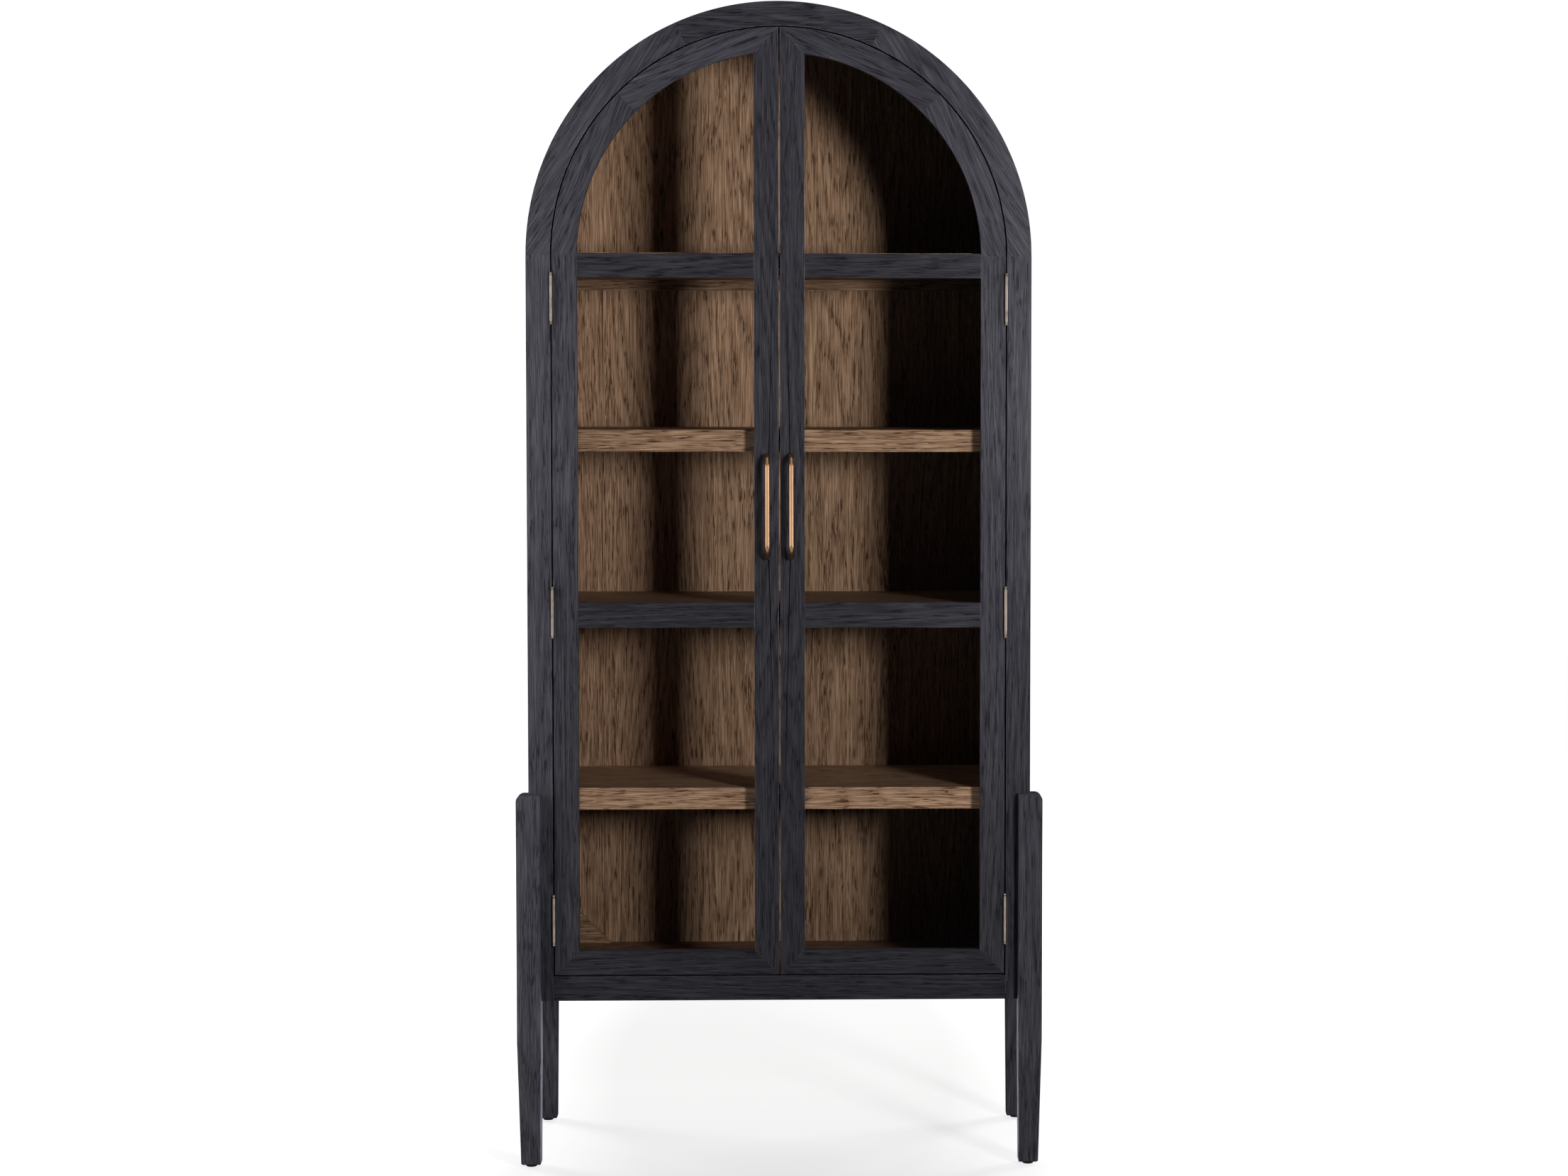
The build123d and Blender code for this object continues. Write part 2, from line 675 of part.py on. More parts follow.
# ---- doors ----
pull_fixings = pull_screws()
right_door = door_members()
right_door["hinge_stile"] = cut(right_door["hinge_stile"], door_hinge_screws)
right_door["meeting_stile"] = cut(right_door["meeting_stile"], pull_fixings)
for pane_kind in PANE_KINDS:
    right_door[f"glass_{pane_kind}"] = glass(pane_kind)
right_door["glazing_beads"] = glazing_beads()
right_door["pull"] = pull()
right_door["pull_screws"] = pull_fixings
right_door["hinge_leaves"] = [
    cut(hinge_leaf(z, -1, 1, PIN_RADIUS + PIN_CLEARANCE), hinge_screws(z, -1))
    for z in HINGE_MIDDLES
]
right_door["hinge_screws"] = door_hinge_screws
right_door["strike_plates"] = strike_plates()
for part_name, right_piece in right_door.items():
    solids = right_piece if isinstance(right_piece, list) else [right_piece]
    write(f"right_door_{part_name}", solids)
    write(f"left_door_{part_name}", [other_side(solid) for solid in solids])
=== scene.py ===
import math

import bmesh
import bpy
from mathutils import Matrix, Vector


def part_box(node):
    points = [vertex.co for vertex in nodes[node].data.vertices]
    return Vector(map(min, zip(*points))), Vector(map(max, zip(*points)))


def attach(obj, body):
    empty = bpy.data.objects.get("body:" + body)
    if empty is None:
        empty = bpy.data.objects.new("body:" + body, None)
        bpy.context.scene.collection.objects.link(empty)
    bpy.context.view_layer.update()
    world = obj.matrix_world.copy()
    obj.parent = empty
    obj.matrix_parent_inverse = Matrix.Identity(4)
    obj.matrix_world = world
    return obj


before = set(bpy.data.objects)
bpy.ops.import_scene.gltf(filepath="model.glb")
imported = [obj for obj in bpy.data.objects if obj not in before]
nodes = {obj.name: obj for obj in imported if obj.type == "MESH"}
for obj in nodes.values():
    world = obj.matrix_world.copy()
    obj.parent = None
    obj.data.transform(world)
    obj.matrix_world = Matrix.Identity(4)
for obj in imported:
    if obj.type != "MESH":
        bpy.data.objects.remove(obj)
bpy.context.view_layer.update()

# An arched two-door display cabinet: black-stained brushed oak outside, mid-brown
# oak inside, clear glass, satin brass pulls. Metres. X is across, Y is depth with
# the doors on the -Y side, Z is up.

# ---- places taken from the frame ----
BODY_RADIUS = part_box("arch_top_panel")[1].x
SPRING_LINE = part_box("arch_top_panel")[1].z - BODY_RADIUS
PANEL_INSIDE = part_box("side_panel_right")[0].x
FACE_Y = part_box("face_stile_left")[0].y
FACE_BACK_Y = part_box("face_stile_left")[1].y
RAIL_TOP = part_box("face_bottom_rail")[1].z

# ---- camera: place in metres, turns in degrees, lens and sensor in millimetres ----
CAMERA_PLACE = (0.0644, -6.6301, 1.4566)
CAMERA_YAW = 2.0744
CAMERA_PITCH = 3.457
CAMERA_ROLL = 0.0858
CAMERA_LENS = 80.713
CAMERA_SENSOR = 36.0
CAMERA_SHIFT_X = -0.1007

# ---- floor brightness: its glow near the cabinet, dimmed there as a painted shadow, far from it, and as it lights the cabinet ----
FLOOR_GLOW_IN_PAINTED_SHADE = 0.62
FLOOR_FAR = 1.0
FLOOR_BOUNCE = 0.15
FLOOR_HALF_SIZE = 12.0
FLOOR_SHADE_MIDDLE = (0, 0.8, 0)
FLOOR_SHADE_SQUASH = (1, 0.25, 1)
FLOOR_SHADE_START = 0.35
FLOOR_SHADE_END = 0.8

# ---- world brightness: as it lights the cabinet, and as the camera sees it ----
WORLD_FILL = 0.006
WORLD_SEEN = 1.02

# ---- door stop ----
STOP_RADII = (0.404, 0.432)
STOP_DEPTH = 0.005
STOP_CLEARANCE = 0.0003
STOP_STEPS = 72

# ---- edge rounding ----
EDGE_ROUND = 0.0007
EDGE_ROUND_SEGMENTS = 2
EDGE_ROUND_ANGLE = math.radians(35)
WELD_DISTANCE = 0.00002

# ---- oak: how fine each pattern is, twice across the grain and once along it, per metre ----
SWAY_STRETCH = (14, 14, 3.5)
RING_STRETCH = (9, 9, 0.75)
COARSE_STRETCH = (380, 380, 7)
FINE_STRETCH = (860, 860, 15)
PORE_STRETCH = (600, 600, 34)
CLOUD_STRETCH = (6, 6, 1.6)

# ---- oak: metres that the grain wanders, rings in the pattern, shares of coarse and fine
# fibres, and the step in the log for each unit of a board's seed ----
SWAY_REACH = (0.004, 0.004, 0)
RING_COUNT = 26.0
COARSE_WEIGHT = 0.35
FINE_WEIGHT = 0.65
LOG_STEP = (0.731, 1.317, 2.113)

# ---- oak colours, linear ----
BLACK_PORE = (0.0135, 0.0128, 0.0168)
BLACK_FIELD = (0.0285, 0.0273, 0.0340)
BLACK_RIDGE = (0.0610, 0.0597, 0.0710)
BLACK_WORN = (0.0950, 0.0860, 0.0880)
BROWN_PORE = (0.032, 0.012, 0.006)
BROWN_FIELD = (0.180, 0.098, 0.059)
BROWN_RIDGE = (0.450, 0.272, 0.176)
BROWN_WORN = (0.380, 0.240, 0.155)

# ---- how far past its inner face a two-faced panel is still brown ----
SIDE_FACE_DEPTH = 0.0003
ARCH_FACE_DEPTH = 0.0006

# ---- grain turns: the oak pattern's own grain runs along Z ----
VERTICAL = (0, 0, 0)
ACROSS = (0, math.radians(90), 0)


# ======================================================================
# Node helpers
# ======================================================================
class Graph:
    """Short calls for building one node tree."""

    def __init__(self, tree):
        self.tree = tree

    def node(self, kind, **settings):
        made = self.tree.nodes.new(kind)
        for name, value in settings.items():
            setattr(made, name, value)
        return made

    def feed(self, socket, value):
        """Link an output to socket, or set a plain value on it."""
        if isinstance(value, bpy.types.NodeSocket):
            self.tree.links.new(value, socket)
        elif value is not None:
            socket.default_value = value

    def math(self, operation, first, second=None):
        made = self.node("ShaderNodeMath", operation=operation)
        self.feed(made.inputs[0], first)
        self.feed(made.inputs[1], second)
        return made.outputs[0]

    def vector(self, operation, first, second):
        made = self.node("ShaderNodeVectorMath", operation=operation)
        self.feed(made.inputs[0], first)
        self.feed(made.inputs[1], second)
        return made.outputs[0]

    def length(self, vector):
        made = self.node("ShaderNodeVectorMath", operation="LENGTH")
        self.feed(made.inputs[0], vector)
        return made.outputs["Value"]

    def stretch(self, vector, scale):
        return self.vector("MULTIPLY", vector, scale)

    def noise(self, vector, scale=1.0, detail=2.0, roughness=0.5):
        made = self.node("ShaderNodeTexNoise")
        self.feed(made.inputs["Vector"], vector)
        made.inputs["Scale"].default_value = scale
        made.inputs["Detail"].default_value = detail
        made.inputs["Roughness"].default_value = roughness
        return made.outputs[0]

    def spread(self, value, low, high, to_low=0.0, to_high=1.0):
        """Map low..high to to_low..to_high, held at both ends."""
        made = self.node("ShaderNodeMapRange")
        self.feed(made.inputs["Value"], value)
        made.inputs["From Min"].default_value = low
        made.inputs["From Max"].default_value = high
        made.inputs["To Min"].default_value = to_low
        made.inputs["To Max"].default_value = to_high
        return made.outputs[0]

    def blend(self, factor, first, second, mode="MIX"):
        made = self.node("ShaderNodeMix", data_type="RGBA", blend_type=mode)
        self.feed(made.inputs["Factor"], factor)
        self.feed(made.inputs[6], colour(first))
        self.feed(made.inputs[7], colour(second))
        return made.outputs[2]

    def grey(self, value):
        made = self.node("ShaderNodeCombineColor")
        for socket in made.inputs:
            self.feed(socket, value)
        return made.outputs[0]

    def bump(self, height, distance, strength):
        made = self.node("ShaderNodeBump")
        made.inputs["Strength"].default_value = strength
        made.inputs["Distance"].default_value = distance
        self.feed(made.inputs["Height"], height)
        return made.outputs[0]

    def parts(self, vector):
        """The X, Y and Z of a vector."""
        made = self.node("ShaderNodeSeparateXYZ")
        self.feed(made.inputs[0], vector)
        return made.outputs[:3]

    def place(self):
        """The point on the object in the row frame, which follows a moving body."""
        return self.node("ShaderNodeTexCoord").outputs["Object"]

    def seen_directly(self):
        """1 for what the camera sees, straight or through glass, and 0 for other rays."""
        path = self.node("ShaderNodeLightPath")
        return self.math("MAXIMUM", path.outputs["Is Camera Ray"], path.outputs["Is Transmission Ray"])


def colour(value):
    """A colour with its alpha, or a socket as it is."""
    if isinstance(value, bpy.types.NodeSocket):
        return value
    return (*value[:3], 1.0)


def scaled(values, by):
    return tuple(value * by for value in values)


def new_material(name):
    """An empty material with its shader joined to its output."""
    material = bpy.data.materials.new(name)
    material.use_nodes = True
    material.node_tree.nodes.clear()
    graph = Graph(material.node_tree)
    shader = graph.node("ShaderNodeBsdfPrincipled")
    output = graph.node("ShaderNodeOutputMaterial")
    graph.feed(output.inputs["Surface"], shader.outputs[0])
    return material, graph, shader, output


# ======================================================================
# Oak
# ======================================================================
def oak_group():
    """A node group that turns a place, grain along Z, into oak's own features.

    Figure is the growth-ring pattern, Streak the fine fibres, Pore the open
    pores, and Cloud the slow change along a board.
    """
    tree = bpy.data.node_groups.new("oak_features", "ShaderNodeTree")
    tree.interface.new_socket("Place", in_out="INPUT", socket_type="NodeSocketVector")
    for name in ("Figure", "Streak", "Pore", "Cloud"):
        tree.interface.new_socket(name, in_out="OUTPUT", socket_type="NodeSocketFloat")
    graph = Graph(tree)
    place = graph.node("NodeGroupInput").outputs[0]

    # The grain wanders a few millimetres to each side along a board.
    sway = graph.noise(graph.stretch(place, SWAY_STRETCH), detail=2)
    swayed = graph.vector("ADD", place, graph.vector("MULTIPLY", sway, SWAY_REACH))

    # Each growth ring brightens slowly, then falls off at its edge.
    rings = graph.noise(graph.stretch(swayed, RING_STRETCH), detail=1.2, roughness=0.4)
    phase = graph.math("FRACT", graph.math("MULTIPLY", rings, RING_COUNT))
    rise = graph.spread(phase, 0.0, 0.75)
    fall = graph.spread(phase, 0.8, 1.0, 1.0, 0.0)

    coarse = graph.noise(graph.stretch(swayed, COARSE_STRETCH), detail=2.0, roughness=0.6)
    fine = graph.noise(graph.stretch(swayed, FINE_STRETCH), detail=1.5)
    coarse_share = graph.math("MULTIPLY", coarse, COARSE_WEIGHT)
    fine_share = graph.math("MULTIPLY", fine, FINE_WEIGHT)

    # Pores are short dashes, open mostly in the early part of a ring.
    dashes = graph.noise(graph.stretch(swayed, PORE_STRETCH), detail=1.0)
    open_pores = graph.spread(dashes, 0.52, 0.58)
    early = graph.spread(phase, 0.2, 0.6, 1.0, 0.25)

    features = {
        "Figure": graph.math("MULTIPLY", rise, fall),
        "Streak": graph.math("ADD", coarse_share, fine_share),
        "Pore": graph.math("MULTIPLY", open_pores, early),
        "Cloud": graph.noise(graph.stretch(place, CLOUD_STRETCH), detail=2.0),
    }
    out = graph.node("NodeGroupOutput")
    for name, value in features.items():
        graph.feed(out.inputs[name], value)
    return tree


OAK = oak_group()


def oak_features(graph, turn, seed, place=None):
    """The oak group on a board: its grain turned by turn, from its own place in the log."""
    mapping = graph.node("ShaderNodeMapping", vector_type="TEXTURE")
    graph.feed(mapping.inputs["Vector"], place or graph.place())
    mapping.inputs["Rotation"].default_value = turn
    shifted = graph.vector("ADD", mapping.outputs[0], scaled(LOG_STEP, seed))
    group = graph.node("ShaderNodeGroup", node_tree=OAK)
    graph.feed(group.inputs[0], shifted)
    return group.outputs


def black_oak_layers(graph, oak, tone_and_shade):
    """Colour, roughness and relief of black-stained, wire-brushed oak."""
    ridges = graph.spread(oak["Streak"], 0.44, 0.58)
    ridges = graph.math("MULTIPLY", ridges, graph.spread(oak["Figure"], 0.0, 1.0, 0.45, 1.0))
    # The last number scales these colours: a board's own tone together with painted light and shade.
    tint = graph.blend(ridges, scaled(BLACK_FIELD, tone_and_shade), scaled(BLACK_RIDGE, tone_and_shade))
    tint = graph.blend(oak["Pore"], tint, scaled(BLACK_PORE, tone_and_shade))
    clouded = graph.spread(oak["Cloud"], 0.3, 0.7, 0.86, 1.14)
    tint = graph.blend(1.0, tint, graph.grey(clouded), "MULTIPLY")
    rough = graph.spread(ridges, 0.0, 1.0, 0.62, 0.44)
    relief = graph.math("SUBTRACT", ridges, graph.math("MULTIPLY", oak["Pore"], 0.8))
    return tint, rough, relief


def brown_oak_layers(graph, oak, tone_and_shade):
    """Colour, roughness and relief of mid-brown, matt-lacquered oak."""
    fibres = graph.spread(oak["Streak"], 0.42, 0.60)
    fibres = graph.math("MULTIPLY", fibres, graph.spread(oak["Figure"], 0.0, 1.0, 0.55, 1.0))
    # The last number scales these colours: a board's own tone together with painted light and shade.
    tint = graph.blend(fibres, scaled(BROWN_FIELD, tone_and_shade), scaled(BROWN_RIDGE, tone_and_shade))
    pores = graph.math("MULTIPLY", oak["Pore"], 0.85)
    tint = graph.blend(pores, tint, scaled(BROWN_PORE, tone_and_shade))
    clouded = graph.spread(oak["Cloud"], 0.3, 0.7, 0.88, 1.12)
    tint = graph.blend(1.0, tint, graph.grey(clouded), "MULTIPLY")
    rough = graph.spread(fibres, 0.0, 1.0, 0.6, 0.48)
    relief = graph.math("SUBTRACT", fibres, oak["Pore"])
    return tint, rough, relief


def black_oak(name, turn, seed, tone_and_shade):
    """The cabinet's outside: black stain over wire-brushed grain."""
    material, graph, shader, _ = new_material(name)
    tint, rough, relief = black_oak_layers(graph, oak_features(graph, turn, seed), tone_and_shade)
    graph.feed(shader.inputs["Base Color"], tint)
    graph.feed(shader.inputs["Roughness"], rough)
    graph.feed(shader.inputs["Normal"], graph.bump(relief, 0.00022, 0.8))
    shader.inputs["Specular IOR Level"].default_value = 0.35
    return material


def brown_oak(name, turn, seed, tone_and_shade):
    """The cabinet's inside: smoother oak under a matt lacquer."""
    material, graph, shader, _ = new_material(name)
    tint, rough, relief = brown_oak_layers(graph, oak_features(graph, turn, seed), tone_and_shade)
    graph.feed(shader.inputs["Base Color"], tint)
    graph.feed(shader.inputs["Roughness"], rough)
    graph.feed(shader.inputs["Normal"], graph.bump(relief, 0.00016, 0.7))
    shader.inputs["Specular IOR Level"].default_value = 0.2
    return material


def worn_edge(name, worn, field):
    """The rubbed wood along an arris, patchy where hands and cloths have been."""
    material, graph, shader, _ = new_material(name)
    place = graph.place()
    patches = graph.noise(place, scale=70, detail=4, roughness=0.65)
    fibres = graph.noise(place, scale=900, detail=2)
    rubbed = graph.spread(patches, 0.42, 0.62)
    tint = graph.blend(rubbed, field, worn)
    tint = graph.blend(graph.spread(fibres, 0.45, 0.65, 0.0, 0.4), tint, field)
    graph.feed(shader.inputs["Base Color"], tint)
    graph.feed(shader.inputs["Roughness"], graph.spread(patches, 0.3, 0.7, 0.6, 0.42))
    graph.feed(shader.inputs["Normal"], graph.bump(fibres, 0.00008, 0.5))
    shader.inputs["Specular IOR Level"].default_value = 0.3
    return material


def two_faced_oak(name, seed, inside, laid=None):
    """A carcass panel, black on its outside and edges and brown on its inner face.

    inside takes the graph and gives 1 on the inner face. laid gives the place on a
    bent panel as if it were laid flat.
    """
    material, graph, shader, _ = new_material(name)
    oak = oak_features(graph, VERTICAL, seed, laid and laid(graph))
    black_tint, _, black_relief = black_oak_layers(graph, oak, 1.0)
    brown_tint, brown_rough, _ = brown_oak_layers(graph, oak, 1.0)
    graph.feed(shader.inputs["Base Color"], graph.blend(inside(graph), black_tint, brown_tint))
    graph.feed(shader.inputs["Roughness"], brown_rough)
    graph.feed(shader.inputs["Normal"], graph.bump(black_relief, 0.0002, 0.75))
    shader.inputs["Specular IOR Level"].default_value = 0.22
    return material


def hypotenuse(graph, across, up):
    """The distance from the arch's middle line."""
    squared = graph.math("ADD", graph.math("MULTIPLY", across, across), graph.math("MULTIPLY", up, up))
    return graph.math("SQRT", squared)


def inner_side(graph):
    """1 on the inner face of a side panel."""
    across = graph.math("ABSOLUTE", graph.parts(graph.place())[0])
    return graph.math("LESS_THAN", across, PANEL_INSIDE + SIDE_FACE_DEPTH)


def inner_arch(graph):
    """1 on the inner face of the bent top panel."""
    x, _, z = graph.parts(graph.place())
    up = graph.math("SUBTRACT", z, SPRING_LINE)
    return graph.math("LESS_THAN", hypotenuse(graph, x, up), PANEL_INSIDE + ARCH_FACE_DEPTH)


def round_the_arch(graph):
    """The bent panel laid flat: depth in the board, front to back, and length along the arch."""
    x, y, z = graph.parts(graph.place())
    up = graph.math("SUBTRACT", z, SPRING_LINE)
    flat = graph.node("ShaderNodeCombineXYZ")
    graph.feed(flat.inputs["X"], hypotenuse(graph, x, up))
    graph.feed(flat.inputs["Y"], y)
    graph.feed(flat.inputs["Z"], graph.math("MULTIPLY", graph.math("ARCTAN2", x, up), BODY_RADIUS))
    return flat.outputs[0]


# ======================================================================
# Glass, metals and plastic
# ======================================================================
def glass(name):
    """Clear float glass. Rays from lamps pass straight through, so the inside is lit."""
    material, graph, shader, output = new_material(name)
    smudge = graph.noise(graph.stretch(graph.place(), (5, 5, 3)), detail=4, roughness=0.65)
    tint = graph.blend(graph.spread(smudge, 0.4, 0.7), (0.965, 0.985, 0.978), (0.93, 0.955, 0.948))
    graph.feed(shader.inputs["Base Color"], tint)
    shader.inputs["Roughness"].default_value = 0.02
    shader.inputs["IOR"].default_value = 1.5
    shader.inputs["Transmission Weight"].default_value = 1.0
    clear = graph.node("ShaderNodeBsdfTransparent")
    graph.feed(clear.inputs["Color"], (0.93, 0.95, 0.945, 1.0))
    mixed = graph.node("ShaderNodeMixShader")
    graph.feed(mixed.inputs[0], graph.seen_directly())
    graph.feed(mixed.inputs[1], clear.outputs[0])
    graph.feed(mixed.inputs[2], shader.outputs[0])
    graph.feed(output.inputs["Surface"], mixed.outputs[0])
    return material


def metal(name, tint, dull, roughness, brushed, brush_scale, worn_most=1.0, relief=0.00003):
    """A metal with a drawn finish along brushed, with darker, duller patches."""
    material, graph, shader, _ = new_material(name)
    place = graph.place()
    lines = graph.noise(graph.stretch(place, brushed), scale=brush_scale, detail=3, roughness=0.6)
    patches = graph.noise(place, scale=38, detail=4, roughness=0.6)
    worn = graph.spread(patches, 0.42, 0.68, 0.0, worn_most)
    tinted = graph.blend(worn, tint, dull)
    tinted = graph.blend(graph.spread(lines, 0.35, 0.65, 0.0, 0.35), tinted, scaled(dull, 0.8))
    graph.feed(shader.inputs["Base Color"], tinted)
    shader.inputs["Metallic"].default_value = 1.0
    drawn = graph.spread(lines, 0.3, 0.7, roughness * 0.8, roughness * 1.15)
    rubbed = graph.math("MULTIPLY", worn, roughness * 0.25)
    graph.feed(shader.inputs["Roughness"], graph.math("ADD", drawn, rubbed))
    graph.feed(shader.inputs["Normal"], graph.bump(lines, relief, 0.35))
    return material


def nylon(name):
    """Dark moulded plastic, scuffed where the feet have been pushed along."""
    material, graph, shader, _ = new_material(name)
    place = graph.place()
    grain = graph.noise(place, scale=1600, detail=2)
    scuffs = graph.noise(graph.stretch(place, (90, 90, 400)), detail=3)
    tint = graph.blend(graph.spread(scuffs, 0.45, 0.7), (0.035, 0.035, 0.038), (0.075, 0.074, 0.078))
    graph.feed(shader.inputs["Base Color"], tint)
    graph.feed(shader.inputs["Roughness"], graph.spread(grain, 0.3, 0.7, 0.42, 0.6))
    graph.feed(shader.inputs["Normal"], graph.bump(grain, 0.00005, 0.4))
    return material


# ======================================================================
# Finishing the CAD nodes
# ======================================================================
def give(names, material):
    """Put one material on every slot of these nodes."""
    for name in names:
        data = nodes[name].data
        count = max(1, len(data.materials))
        data.materials.clear()
        for _ in range(count):
            data.materials.append(material)


def ease_edges(piece):
    """Round a piece's sharp edges, and return the modifier."""
    bevel = piece.modifiers.new("ease", "BEVEL")
    bevel.width = EDGE_ROUND
    bevel.segments = EDGE_ROUND_SEGMENTS
    bevel.limit_method = "ANGLE"
    bevel.angle_limit = EDGE_ROUND_ANGLE
    return bevel


def soften(name, edge_material):
    """Join a node's split corners, and round its sharp edges into a worn strip."""
    piece = nodes[name]
    piece.data.materials.append(edge_material)
    weld = piece.modifiers.new("join", "WELD")
    weld.merge_threshold = WELD_DISTANCE
    bevel = ease_edges(piece)
    bevel.harden_normals = True
    bevel.material = len(piece.data.materials) - 1


def chord_turn(start, end):
    """The turn that lays the grain along the chord between two angles of the arch, in degrees."""
    return (0, math.radians(-(start + end) / 2), 0)


# name: (grain turn, log seed, tone with painted shade). The last number is a board's own tone together
# with painted light and shade for how light falls on it: darker on the rails, mullions, meeting stiles and
# arch crown, lighter on the outer stiles.
BLACK_BOARDS = {
    "face_stile_left": (VERTICAL, 1.3, 1.04),
    "face_stile_right": (VERTICAL, 2.9, 1.0),
    "face_bottom_rail": (ACROSS, 4.1, 0.78),
    "face_arch_left": (chord_turn(114, 180), 5.7, 1.0),
    "face_arch_crown": (chord_turn(66, 114), 6.2, 0.82),
    "face_arch_right": (chord_turn(0, 66), 7.9, 1.0),
    "leg_front_left": (VERTICAL, 8.4, 1.06),
    "leg_front_right": (VERTICAL, 9.6, 0.95),
    "leg_rear_left": (VERTICAL, 10.2, 0.95),
    "leg_rear_right": (VERTICAL, 11.8, 0.95),
    "left_door_hinge_stile": (VERTICAL, 12.5, 0.9),
    "left_door_meeting_stile": (VERTICAL, 13.1, 0.72),
    "left_door_bottom_rail": (ACROSS, 14.7, 0.72),
    "left_door_lower_mullion": (ACROSS, 15.3, 0.56),
    "left_door_upper_mullion": (ACROSS, 16.9, 0.58),
    "left_door_arch_rail_lower": (chord_turn(135, 180), 17.2, 0.97),
    "left_door_arch_rail_upper": (chord_turn(90, 135), 18.6, 0.95),
    "right_door_hinge_stile": (VERTICAL, 19.4, 0.99),
    "right_door_meeting_stile": (VERTICAL, 20.8, 0.72),
    "right_door_bottom_rail": (ACROSS, 21.5, 0.76),
    "right_door_lower_mullion": (ACROSS, 22.3, 0.72),
    "right_door_upper_mullion": (ACROSS, 23.7, 0.58),
    "right_door_arch_rail_lower": (chord_turn(0, 45), 24.1, 0.97),
    "right_door_arch_rail_upper": (chord_turn(45, 90), 25.9, 0.95),
    "left_door_glazing_beads": (VERTICAL, 26.2, 0.85),
    "right_door_glazing_beads": (VERTICAL, 27.6, 0.85),
}
# The last number here too is a board's own tone together with painted light and shade: darker on the floor
# panel, braces and back rail, lighter on the lowest shelf.
BROWN_BOARDS = {
    "back_panel": (VERTICAL, 31.4, 1.0),
    "floor_panel": (ACROSS, 32.8, 0.75),
    "shelf_1": (ACROSS, 33.5, 0.95),
    "shelf_2": (ACROSS, 34.9, 1.02),
    "shelf_3": (ACROSS, 35.3, 0.95),
    "shelf_4": (ACROSS, 36.7, 1.4),
    "corner_braces": (ACROSS, 37.2, 0.8),
    "back_rail": (ACROSS, 38.6, 0.8),
}

BLACK_EDGE = worn_edge("black_oak_worn_edge", BLACK_WORN, BLACK_FIELD)
BROWN_EDGE = worn_edge("brown_oak_worn_edge", BROWN_WORN, BROWN_FIELD)
for name, (turn, seed, tone_and_shade) in BLACK_BOARDS.items():
    give([name], black_oak("black_oak_" + name, turn, seed, tone_and_shade))
    soften(name, BLACK_EDGE)
for name, (turn, seed, tone_and_shade) in BROWN_BOARDS.items():
    give([name], brown_oak("brown_oak_" + name, turn, seed, tone_and_shade))
    soften(name, BROWN_EDGE)
give(["side_panel_left"], two_faced_oak("two_oak_side_left", 41.3, inner_side))
give(["side_panel_right"], two_faced_oak("two_oak_side_right", 42.9, inner_side))
give(["arch_top_panel"], two_faced_oak("two_oak_arch", 43.1, inner_arch, round_the_arch))
for name in ("side_panel_left", "side_panel_right"):
    soften(name, BLACK_EDGE)

DOORS = ("left_door_", "right_door_")
PANES = [door + pane for door in DOORS for pane in ("glass_lower", "glass_middle", "glass_upper")]
give(PANES, glass("clear_glass"))

BRASS = metal(
    "satin_brass",
    tint=(0.76, 0.46, 0.27),
    dull=(0.62, 0.34, 0.19),
    roughness=0.27,
    brushed=(1, 1, 0.04),
    brush_scale=240,
    worn_most=0.3,
    relief=0.000002,
)
BRONZE = metal(
    "aged_bronze",
    tint=(0.60, 0.50, 0.43),
    dull=(0.34, 0.26, 0.21),
    roughness=0.36,
    brushed=(1, 1, 0.1),
    brush_scale=700,
)
STEEL = metal(
    "zinc_steel",
    tint=(0.60, 0.60, 0.61),
    dull=(0.38, 0.38, 0.40),
    roughness=0.33,
    brushed=(1, 1, 1),
    brush_scale=500,
)
BRASS_NODES = [door + "pull" for door in DOORS]
BRONZE_NODES = [door + "hinge_leaves" for door in DOORS] + ["hinge_frame_leaves", "hinge_pins"]
STEEL_NODES = ["back_panel_screws", "hinge_frame_screws", "catch_magnets"]
STEEL_NODES += [door + part for door in DOORS for part in ("hinge_screws", "pull_screws", "strike_plates")]
give(BRASS_NODES, BRASS)
give(BRONZE_NODES, BRONZE)
give(STEEL_NODES, STEEL)
give(["foot_glides"], nylon("nylon_glide"))
give(["assembly_dowels"], brown_oak("beech_dowels", ACROSS, 51.7, 1.9))


# ======================================================================
# Door stop
# ======================================================================
def door_stop(material):
    """The thin black lath behind the frame's inner edge, which the doors close against."""
    inner, outer = STOP_RADII
    front = FACE_BACK_Y + STOP_CLEARANCE
    back = front + STOP_DEPTH
    section = ((inner, front), (outer, front), (outer, back), (inner, back))

    # The line runs up the right side, over the arch and down the left side.
    turns = [math.pi * step / STOP_STEPS for step in range(STOP_STEPS + 1)]
    arch = [(math.cos(turn), math.sin(turn), SPRING_LINE) for turn in turns]
    line = [(1, 0, RAIL_TOP)] + arch + [(-1, 0, RAIL_TOP)]

    mesh = bmesh.new()
    rows = []
    for across, up, base in line:
        rows.append([mesh.verts.new((across * radius, y, base + up * radius)) for radius, y in section])
    for start, end in zip(rows, rows[1:]):
        for side in range(4):
            after = (side + 1) % 4
            mesh.faces.new((start[side], end[side], end[after], start[after]))
    mesh.faces.new(rows[0])
    mesh.faces.new(reversed(rows[-1]))
    bmesh.ops.recalc_face_normals(mesh, faces=mesh.faces)

    data = bpy.data.meshes.new("door_stop")
    mesh.to_mesh(data)
    mesh.free()
    data.materials.append(material)
    stop = bpy.data.objects.new("door_stop", data)
    bpy.context.scene.collection.objects.link(stop)
    ease_edges(stop)
    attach(stop, "cabinet")


door_stop(black_oak("black_oak_door_stop", VERTICAL, 29.8, 0.7))


